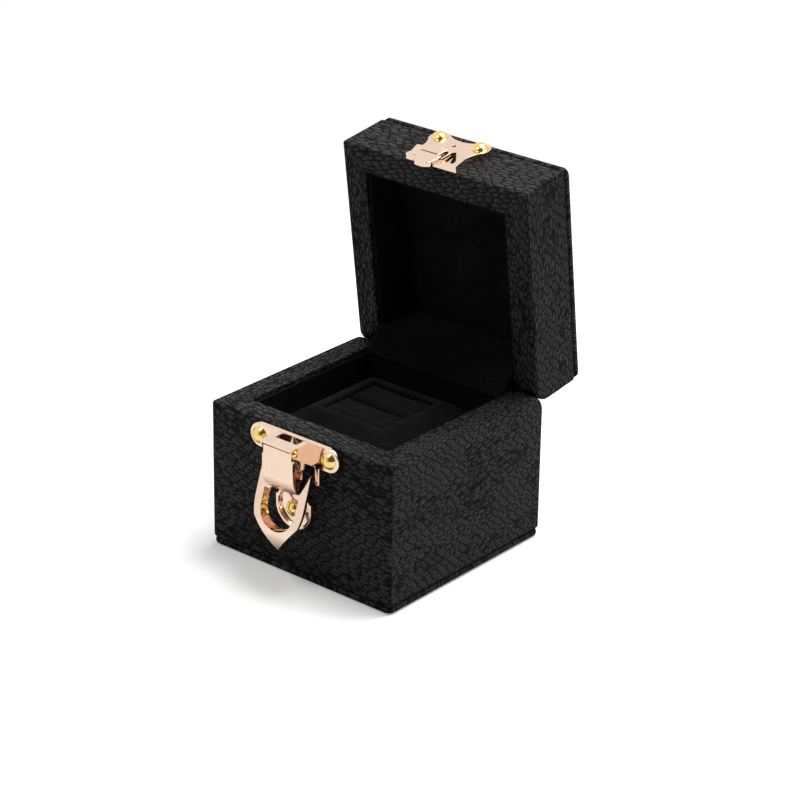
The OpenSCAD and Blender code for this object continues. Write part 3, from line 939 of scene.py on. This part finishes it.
    def uneven(self, points: np.ndarray) -> np.ndarray:
        """Adds the faint waviness of glued leather.

        Args:
            points: points in the rim frame.

        Returns:
            The moved points.
        """
        x, y, z = points.T
        wave = self.wave * np.sin(0.31 * x + 0.23 * z + 0.7) * np.cos(0.27 * y - 0.19 * z + 0.4)
        out = points.copy()
        top = np.clip((z + self.wave_reach) / self.wave_reach, 0, 1)
        out[:, 2] -= top * np.abs(wave)
        inward = np.clip(-z / self.wave_reach, 0, 1) * np.abs(wave)
        out[:, 0] -= np.sign(x) * inward * (np.abs(x) >= np.abs(y))
        out[:, 1] -= np.sign(y) * inward * (np.abs(y) > np.abs(x))
        return out


@dataclass
class SoftSlab:
    """A leather-covered plate: a slab with round corners and soft edges."""

    name: str
    low: float
    high: float
    corner: float = 2.0
    edge: float = 0.75
    over_edge: float = 0.4

    def mesh(self, matrix: Matrix) -> Mesh:
        """Builds the plate.

        Args:
            matrix: from the drawing to the box.

        Returns:
            The mesh, with its strip coordinates.
        """
        inner = [HALF * share for share in (0.15, 0.45, 0.8)]
        rows = [(inset, self.low) for inset in inner[::-1]]
        rows += arc(self.edge, self.low + self.edge, self.edge, 270, 180, 6)
        rows += arc(self.edge, self.high - self.edge, self.edge, 180, 90, 6)
        rows += [(inset, self.high) for inset in inner]
        layers = [self._turn(inset, height) for inset, height in rows]
        points = np.concatenate(layers)
        faces = loft(len(rows), len(layers[0])) + ends(len(rows), len(layers[0]))
        if matrix.determinant() < 0:
            faces = [f[::-1] for f in faces]
        mesh = built(self.name, placed(points, matrix), faces)
        self._lay_strip(mesh, points)
        return mesh

    def _turn(self, inset: float, height: float) -> np.ndarray:
        """One turn round the plate."""
        side = rounded_side(HALF - inset, max(self.corner - inset, 0.3), 40, 7)
        return np.array([(x, y, height) for x, y in four_sides(side)])

    def _lay_strip(self, mesh: Mesh, points: np.ndarray) -> None:
        """Lays the grain over the flat of the plate and down its edges.

        Args:
            mesh: the plate's mesh.
            points: its points before they were placed.
        """
        drop = (points[:, 2] - self.low)[:, None]
        flat = points[:, :2] + self.over_edge * drop * np.sign(points[:, :2])
        corner = np.zeros(len(mesh.loops), int)
        mesh.loops.foreach_get("vertex_index", corner)
        mesh.uv_layers.new(name="strip").data.foreach_set("uv", flat[corner].ravel())


@dataclass
class Leatherwork(Assembly):
    """The leather of the base and the lid, and the plates above and below."""

    hinge_length: float = 25.6
    knuckle_room: float = 1.55
    leaf_front: float = 23.7
    leaf_room: float = 2.0
    slack: float = 0.02
    lid_depth: float = 17.3
    lid_top: float = 19.3
    lid_grain: float = 0.95

    def _room(self, matrix: Matrix, rise: float) -> Object:
        """The solid that the hinge needs free, in one rim's frame.

        Args:
            matrix: from the rim frame to the box.
            rise: the hinge axis above the rim.

        Returns:
            An object made of the room's two parts.
        """
        work = bmesh.new()
        axis, radius = self.pose.hinge.y, self.knuckle_room
        turn = Matrix.Translation((0, axis, rise)) @ Matrix.Rotation(math.pi / 2, 4, "Y")
        bmesh.ops.create_cone(
            work, cap_ends=True, segments=32, radius1=radius, radius2=radius,
            depth=self.hinge_length, matrix=turn,
        )
        front = self.leaf_front
        size = Matrix.Diagonal((self.hinge_length - self.slack, axis - front, self.leaf_room, 1))
        bmesh.ops.create_cube(work, matrix=Matrix.Translation((0, (axis + front) / 2, 0)) @ size)
        work.transform(Matrix.Scale(MM, 4) @ matrix)
        if matrix.determinant() < 0:
            bmesh.ops.reverse_faces(work, faces=work.faces)
        return linked("hinge_room", written(work, "hinge_room"))

    def make(self) -> None:
        """Builds the four leather pieces."""
        rise = self.pose.hinge.z - self.pose.base_rim
        base_depth = self.pose.base_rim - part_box("base_leather")[0].z / MM
        wraps = (
            ("base_wrap", "base", "base_leather", base_depth, self.pose.on_base(), 1.0),
            ("lid_wrap", "lid", "lid_leather", self.lid_depth, self.pose.on_lid(), self.lid_grain),
        )
        for name, body, node, depth, matrix, grain in wraps:
            mesh = Wrap(name, depth, grain=grain).mesh(matrix, self._room(matrix, rise))
            self.show(name, body, Finish.LEATHER, node, mesh)
        low, high = (c.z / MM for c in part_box("bottom_plate"))
        plates = (
            ("bottom_cover", "base", "bottom_plate", low, high, Matrix.Identity(4)),
            ("lid_cover", "lid", "lid_cover_plate", -self.lid_top, -self.lid_depth, self.pose.on_lid()),
        )
        for name, body, node, low, high, matrix in plates:
            self.show(name, body, Finish.LEATHER, node, SoftSlab(name, low, high).mesh(matrix))


# ---- suede ----


@dataclass
class Cushion:
    """One stuffed roll of the ring cushion: a soft block, swelled as cloth in an enlarged copy."""

    name: str
    node: str
    rounding: float = 0.8
    enlarged: float = 20.0
    start_inset: float = 0.06
    voxel: float = 0.45
    pressure: float = 4.0
    frames: int = 20
    most: float = 0.4
    seed: float = 0.0
    crease: float = 0.09
    crease_level: float = 38.0

    def _start(self) -> tuple[Mesh, Vector]:
        """The roll's slightly smaller starting shape, enlarged about its centre.

        Returns:
            The mesh, in small even faces, and the centre.
        """
        low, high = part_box(self.node)
        centre = (low + high) / 2
        size = high - low
        work = bmesh.new()
        bmesh.ops.create_cube(work, matrix=Matrix.Translation(centre) @ Matrix.Diagonal((*size, 1)))
        bmesh.ops.bevel(
            work, geom=work.edges, offset=self.rounding * MM, segments=5, profile=0.5, affect="EDGES"
        )
        mesh = written(work, self.name)
        shrink = Vector([1 - 2 * self.start_inset * MM / s for s in size])
        for vertex in mesh.vertices:
            away = vertex.co - centre
            vertex.co = Vector([a * k for a, k in zip(away, shrink)]) * self.enlarged
        remesh = {"mode": "VOXEL", "voxel_size": self.voxel * MM * self.enlarged}
        return with_modifiers(mesh, ("REMESH", remesh)), centre

    def mesh(self) -> Mesh:
        """Swells the roll and smooths it.

        Returns:
            The finished mesh.
        """
        still, centre = self._start()
        rest = np.array([v.co for v in still.vertices])
        moved = self._swelled(still, rest)
        push = moved - rest
        length = np.linalg.norm(push, axis=1, keepdims=True)
        cap = self.most * MM * self.enlarged
        moved = rest + push * np.minimum(1, cap / np.maximum(length, 1e-9))
        low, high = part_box(self.node)
        points = moved / self.enlarged + np.array(centre)
        points = np.clip(points, np.array(low), np.array(high))
        points[:, 2] += self._creases(points / MM) * MM
        points[:, 2] = np.minimum(points[:, 2], high.z)
        still.vertices.foreach_set("co", points.ravel())
        still.polygons.foreach_set("use_smooth", [True] * len(still.polygons))
        settled = ("SMOOTH", {"factor": 0.5, "iterations": 3})
        return with_modifiers(still, settled, ("SUBSURF", {"levels": 1, "render_levels": 1}))

    def _swelled(self, still: Mesh, rest: np.ndarray) -> np.ndarray:
        """Runs the cloth simulation.

        Args:
            still: the starting mesh.
            rest: its points.

        Returns:
            The points afterwards.
        """
        holder = linked(self.name + "_cloth", still.copy())
        cloth = holder.modifiers.new("cloth", "CLOTH")
        cloth.settings.use_pressure = True
        cloth.settings.uniform_pressure_force = self.pressure
        cloth.settings.quality = 6
        cloth.settings.effector_weights.gravity = 0
        cloth.point_cache.frame_start = 1
        cloth.point_cache.frame_end = self.frames
        scene = bpy.context.scene
        for step in range(1, self.frames + 1):
            scene.frame_set(step)
        mesh = applied(holder)
        scene.frame_set(1)
        moved = np.array([v.co for v in mesh.vertices])
        return moved if len(moved) == len(rest) else rest

    def _creases(self, points: np.ndarray) -> np.ndarray:
        """Shallow hollows where the suede is pulled into the slot.

        Args:
            points: points in millimetres.

        Returns:
            How far each point sinks, as a negative height.
        """
        x, y, z = points.T
        top = np.clip((z - self.crease_level) / 2, 0, 1)
        ripple = np.sin(0.9 * x + 0.5 * np.sin(0.6 * y + self.seed) + self.seed)
        pull = np.exp(-((np.abs(y) - 1.0) ** 2) / 3.0)
        return -self.crease * top * pull * (1 + ripple)


@dataclass
class Upholstery(Assembly):
    """Suede lining, the ring pad, the lid's padded panel and the strip over the hinge."""

    lining_edge: float = 0.34
    ridge: float = 13.5
    well: float = 11.0
    slope: float = 34.5
    sag: float = 0.16
    corner_dip: float = 0.1
    panel_half: float = 24.7
    panel_back: float = -14.7
    panel_front: float = -13.2
    panel_tuck: float = 0.5
    strip_low: Pair = (23.5, 42.5)
    strip_high: Pair = (29.1, 49.9)
    strip_half: float = 24.4
    strip_thick: float = 0.5
    strip_fold: Pair = (0.12, 0.88)

    def make(self) -> None:
        """Builds every suede piece."""
        for body in ("base", "lid"):
            node = body + "_lining"
            self.show(node + "_suede", body, Finish.SUEDE, node, softened(node, self.lining_edge, 4))
        self.dress("underlay", Finish.SUEDE)
        self.dress("pad_support", Finish.FOAM)
        collar = self.show("pad_frame", "base", Finish.SUEDE, "pad_collar", self._collar("pad_frame"))
        for side, seed in (("front", 0.0), ("rear", 2.4)):
            name, node = side + "_roll", "pad_roll_" + side
            roll = self.show(name, "base", Finish.SUEDE, node, Cushion(name, node, seed=seed).mesh())
        panel = self.show("lid_pad", "lid", Finish.SUEDE, "lid_panel", self._panel("lid_pad"))
        self._strip()

    def _collar(self, name: str) -> Mesh:
        """The raised frame round the rolls: sloping padded sides, a soft ridge and a soft inner edge.

        Args:
            name: the mesh's name.

        Returns:
            The mesh.
        """
        low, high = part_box("pad_collar")
        outer, foot, top = high.x / MM, low.z / MM, high.z / MM
        ridge, well = self.ridge, self.well
        shoulder = top - (outer - ridge) * math.tan(math.radians(self.slope))
        rows = [(outer, foot), (outer, shoulder - 2.0), (outer, shoulder - 0.6)]
        rows += [
            (outer - (outer - ridge) * s,
             shoulder + (top - shoulder) * s - self.sag + self.sag * math.sin(math.pi * s))
            for s in np.linspace(0, 1, 15)[1:-1]
        ]
        crest = np.linspace(0, 1, 6)
        rows += [(ridge - (ridge - well) * s, top - 0.05 * (2 * s - 1) ** 2) for s in crest]
        rows += [(well, top - d) for d in (0.4, 1.2, 3.0, 6.0, top - foot)]
        for _ in range(2):
            line = np.array(rows)
            rows = [rows[0], *(line[:-2] * 0.25 + line[1:-1] * 0.5 + line[2:] * 0.25), rows[-1]]
        steps = np.linspace(-1, 1, 61)[:-1]
        points = []
        for reach, height in rows:
            dips = [self.corner_dip * math.exp(-(((1 - abs(s)) * reach / 0.5) ** 2)) for s in steps] * 4
            turn = four_sides([(reach * s, -reach) for s in steps])
            points += [(x, y, height - dip) for (x, y), dip in zip(turn, dips)]
        return outwards(built(name, np.array(points), loft(len(rows), 4 * len(steps), close=True)))

    def _panel(self, name: str) -> Mesh:
        """The lid's thin padded panel, crowned, its edges tucked behind the lining.

        Args:
            name: the mesh's name.

        Returns:
            The mesh.
        """
        half = self.panel_half
        steps = np.linspace(-1, 1, 49)
        places = np.sign(steps) * (1 - (1 - np.abs(steps)) ** 1.25)
        count = len(places)
        fall = 1 - np.abs(places) ** 14
        points = [
            (half * x, half * y, self.panel_front - self.panel_tuck * (1 - fx * fy))
            for y, fy in zip(places, fall)
            for x, fx in zip(places, fall)
        ]
        points += [(half * x, half * y, self.panel_back) for y in places for x in places]
        size = count * count
        faces = []
        for a in np.arange(size).reshape(count, count)[:-1, :-1].ravel().tolist():
            faces.append((a, a + 1, a + count + 1, a + count))
            faces.append((size + a, size + a + count, size + a + count + 1, size + a + 1))
        ring = [*range(count)] + [count * i + count - 1 for i in range(1, count)]
        ring += [size - 1 - k for k in range(1, count)] + [count * i for i in range(count - 2, 0, -1)]
        faces += [(a, size + a, size + b, b) for a, b in zip(ring, ring[1:] + ring[:1])]
        return outwards(built(name, placed(np.array(points), self.pose.on_lid()), faces))

    def _strip(self) -> None:
        """The suede strip over the hinge, taut as it lies while the lid is open."""
        low, high = np.array(self.strip_low), np.array(self.strip_high)
        along = (high - low) / np.linalg.norm(high - low)
        across = np.array([-along[1], along[0]]) * self.strip_thick
        steps = np.linspace(0, 1, 19)
        loop = [low + (high - low) * s + across for s in steps]
        loop += [low + (high - low) * s for s in steps[::-1]]
        xs = np.linspace(-self.strip_half, self.strip_half, 41)
        points = np.array([(x, y, z) for x in xs for y, z in loop])
        faces = loft(len(xs), len(loop)) + ends(len(xs), len(loop))
        mesh = outwards(built("hinge_cover", points, faces))
        strip = linked("hinge_cover", mesh)
        mesh.materials.append(self.finishes[Finish.SUEDE])
        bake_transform(strip)
        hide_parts("hinge_strip")
        log.info("hinge_cover: %d faces, suede, from base to lid", len(mesh.polygons))


# ---- metal ----


@dataclass
class DomedScrew:
    """A polished domed screw: a low dome on a small rim, with its shank behind."""

    head: float = 2.45
    height: float = 1.6
    rim: float = 0.2
    rim_ledge: float = 0.08
    rim_round: float = 0.05
    shank: float = 0.8
    length: float = 5.0
    around: int = 72

    def profile(self) -> list[tuple[float, float]]:
        """The outline from just beside the dome's top to the shank's end.

        Returns:
            Its corners as (radius, height).
        """
        foot, rise = self.head - self.rim_ledge, self.height - self.rim
        ball = (foot * foot + rise * rise) / (2 * rise)
        reach = math.asin(foot / ball)
        turns = np.linspace(0, reach, 15)[1:]
        dome = [(ball * math.sin(a), self.height - ball + ball * math.cos(a)) for a in turns]
        rim = [(self.head, self.rim - 0.06), (self.head, self.rim_round)]
        back = [(self.head - self.rim_round, 0.0), (self.shank, 0.0), (self.shank, -self.length)]
        return dome + rim + back

    def turned(self) -> tuple[np.ndarray, Faces]:
        """Turns the outline round the screw's axis, its head along +Z.

        Returns:
            The screw's points in millimetres and its faces.
        """
        profile, n = self.profile(), self.around
        turns = np.linspace(0, 2 * math.pi, n, endpoint=False)
        rows = [(0.0, 0.0, self.height)]
        rows += [(r * math.cos(a), r * math.sin(a), h) for r, h in profile for a in turns]
        faces = [(0, 1 + k, 1 + (k + 1) % n) for k in range(n)]
        faces += [(1 + a, 1 + d, 1 + c, 1 + b) for a, b, c, d in loft(len(profile), n)]
        faces.append(tuple(range(len(rows) - n, len(rows)))[::-1])
        return np.array(rows), faces

    def mesh(self, name: str, places: Sequence[Matrix]) -> Mesh:
        """One mesh that holds a screw at each place.

        Args:
            name: its name.
            places: matrices, in millimetres.

        Returns:
            The mesh.
        """
        rows, faces = self.turned()
        points = np.concatenate([placed(rows, matrix) for matrix in places])
        faces = [tuple(len(rows) * i + c for c in face) for i in range(len(places)) for face in faces]
        mesh = built(name, points, faces)
        mesh.set_sharp_from_angle(angle=math.radians(50))
        return mesh


@dataclass
class Hardware(Assembly):
    """The lock, its lever and pull ring, the keeper, the strike and the concealed hinge."""

    middle: float = -0.6
    wings: Point = (12.4, -34.0, 40.05)
    tray: Point = (0.0, -34.1, 21.9)
    studs: Point = (7.1, -34.4, 57.4)

    def _screws(self, reach: float, face: float, height: float) -> list[Matrix]:
        """The places of two screws at a reach from the middle, or of one in the middle.

        Args:
            reach: how far each is from the middle, or 0 for one screw.
            face: where they sit, from front to back.
            height: how high they sit.

        Returns:
            A matrix for each.
        """
        sides = (-1, 1) if reach else (0,)
        forward = Matrix.Rotation(math.pi / 2, 4, "X")
        return [Matrix.Translation((self.middle + s * reach, face, height)) @ forward for s in sides]

    def make(self) -> None:
        """Builds every metal piece."""
        plated = (
            ("lock_plate", "base", "lock_back_plate", 0.28),
            ("lock_case", "base", "lock_housing", 0.16),
            ("keeper_tray", "base", "keeper_plate", 0.24),
            ("lever", "lever", "lever_plate", 0.2),
            ("pull_handle", "lever", "pull_ring", 0.28),
            ("strike", "lid", "strike_plate", 0.28),
            ("strike_slide", "lid", "strike_tongue", 0.2),
        )
        for name, body, node, width in plated:
            self.show(name, body, Finish.ROSE_GOLD, node, softened(node, width))
        groups = (
            ("wing_screws", "base", "lock_screws", self._screws(*self.wings)),
            ("tray_screw", "base", "keeper_screw", self._screws(*self.tray)),
            ("strike_studs", "lid", "strike_screws",
             [self.pose.lid_turn() @ place for place in self._screws(*self.studs)]),
        )
        for name, body, node, places in groups:
            self.show(name, body, Finish.GOLD, node, DomedScrew().mesh(name, places))
        self.dress("lever_pin", Finish.GOLD)
        for node in ("lever_spring", "hinge_leaf_base", "hinge_pin", "hinge_screws_base",
                     "hinge_leaf_lid", "hinge_screws_lid"):
            self.dress(node, Finish.STEEL)


@dataclass
class Carcass(Assembly):
    """The boards inside the walls, which only the lining and the leather show the shape of."""

    def make(self) -> None:
        """Dresses every board node."""
        for node in sorted(frame["nodes"]):
            if node.endswith(("board", "boards")):
                self.dress(node, Finish.BOARD)


# ---- studio ----


@dataclass
class Studio:
    """White floor, soft lights and the camera, whose own lengths are in millimetres.

    The floor and the lights are far larger than the box, and their sizes are in metres.
    """

    azimuth: float = 39.9686
    elevation: float = 24.3053
    roll: float = 0.8651
    distance: float = 791.94
    aim_height: float = 42.93
    slide: float = 5.96
    lens: float = 129.32
    floor_size: float = 8.0
    floor_grey: float = 0.79
    floor_glow: float = 0.31
    floor_fade: Pair = (0.12, 0.4)
    room_light: float = 0.1
    dark_light: float = 0.1
    dark_side: Point = (0.586, -0.698, 0.411)
    dark_edge: Pair = (0.45, 0.97)

    def make(self) -> None:
        """Builds the floor, the world, the lights and the camera."""
        self._floor()
        self._world()
        self._lights()
        self._camera()

    def _floor(self) -> None:
        """A white floor that keeps the box's shadow and fades to plain white for camera and gloss."""
        side = self.floor_size / 2
        mesh = bpy.data.meshes.new("floor")
        corners = [(-side, -side, 0), (side, -side, 0), (side, side, 0), (-side, side, 0)]
        mesh.from_pydata(corners, [], [(0, 1, 2, 3)])
        material = bpy.data.materials.new("floor")
        tree = Tree(material)
        grey = (self.floor_grey,) * 3
        matt = tree.add("ShaderNodeBsdfDiffuse", {}, {"Color": grey}).outputs[0]
        glow = tree.shining("Emission", self.floor_glow)
        lifted = tree.add("ShaderNodeAddShader", {}, {0: matt, 1: glow}).outputs[0]
        white = tree.shining("Emission", 1.0)
        length = {"operation": "LENGTH"}
        away = tree.value("ShaderNodeVectorMath", length, {0: tree.place()}, "Value")
        near = tree.mixed(tree.rays("Camera"), matt, lifted)
        seen = tree.mixed(away.step(*self.floor_fade), near, white)
        met = tree.mixed(tree.rays("Camera", "Glossy", "Transmission"), matt, seen)
        tree.add("ShaderNodeOutputMaterial", {}, {"Surface": met})
        mesh.materials.append(material)
        linked("floor", mesh)

    def _world(self) -> None:
        """Soft even light from all round, seen as plain white; gloss meets one dark patch."""
        world = bpy.data.worlds.new("studio")
        bpy.context.scene.world = world
        tree = Tree(world)
        lighting, white, dark = (
            tree.shining("Background", strength) for strength in (self.room_light, 1.0, self.dark_light)
        )
        toward = {0: tree.add("ShaderNodeTexCoord").outputs["Generated"], 1: self.dark_side}
        facing = tree.value("ShaderNodeVectorMath", {"operation": "DOT_PRODUCT"}, toward, "Value")
        room = tree.mixed(facing.step(*self.dark_edge), white, dark)
        met = tree.mixed(tree.rays("Glossy"), lighting, room)
        seen = tree.mixed(tree.rays("Camera", "Transmission"), met, white)
        tree.add("ShaderNodeOutputWorld", {}, {"Surface": seen})

    def _lights(self) -> None:
        """A large softbox overhead and two weaker ones that rake the walls."""
        boxes = (
            ("overhead", (0.14, 0.3, 1.0), 0.6, 14.5),
            ("right", (0.75, 0.1, 1.0), 0.25, 1.4),
            ("front", (-0.2, -0.6, 1.0), 0.25, 3.0),
        )
        for name, place, size, watts in boxes:
            data = bpy.data.lights.new(name, "AREA")
            data.size = size
            data.energy = watts
            light = linked(name, data)
            light.location = place
            aim = Vector((0, 0, 0.05)) - light.location
            light.rotation_euler = aim.to_track_quat("-Z", "Y").to_euler()

    def _camera(self) -> None:
        """The camera, rolled a little and slid sideways."""
        a, e, r = (math.radians(v) for v in (self.azimuth, self.elevation, self.roll))
        back = Vector((math.sin(a) * math.cos(e), -math.cos(a) * math.cos(e), math.sin(e)))
        right = (-back).cross(Vector((0, 0, 1))).normalized()
        up = right.cross(-back)
        right, up = right * math.cos(r) + up * math.sin(r), up * math.cos(r) - right * math.sin(r)
        data = bpy.data.cameras.new("camera")
        data.lens = self.lens
        data.sensor_width = 36.0
        data.clip_start = 0.01
        data.clip_end = 50.0
        camera = linked("camera", data)
        place = Vector((0, 0, self.aim_height)) + back * self.distance + right * self.slide
        turn = Matrix((right, up, back)).transposed().to_4x4()
        camera.matrix_world = Matrix.Translation(place * MM) @ turn
        bpy.context.scene.camera = camera


def main() -> None:
    """Builds the box's looks in order."""
    logging.basicConfig(level=logging.INFO, format="%(name)s: %(message)s")
    bpy.context.scene.view_settings.view_transform = "Standard"
    finishes, pose = all_finishes(), Pose()
    for group in (Carcass, Leatherwork, Upholstery, Hardware):
        group(finishes, pose).make()
    Studio().make()
    bpy.context.view_layer.update()
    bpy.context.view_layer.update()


if __name__ == "__main__":
    main()
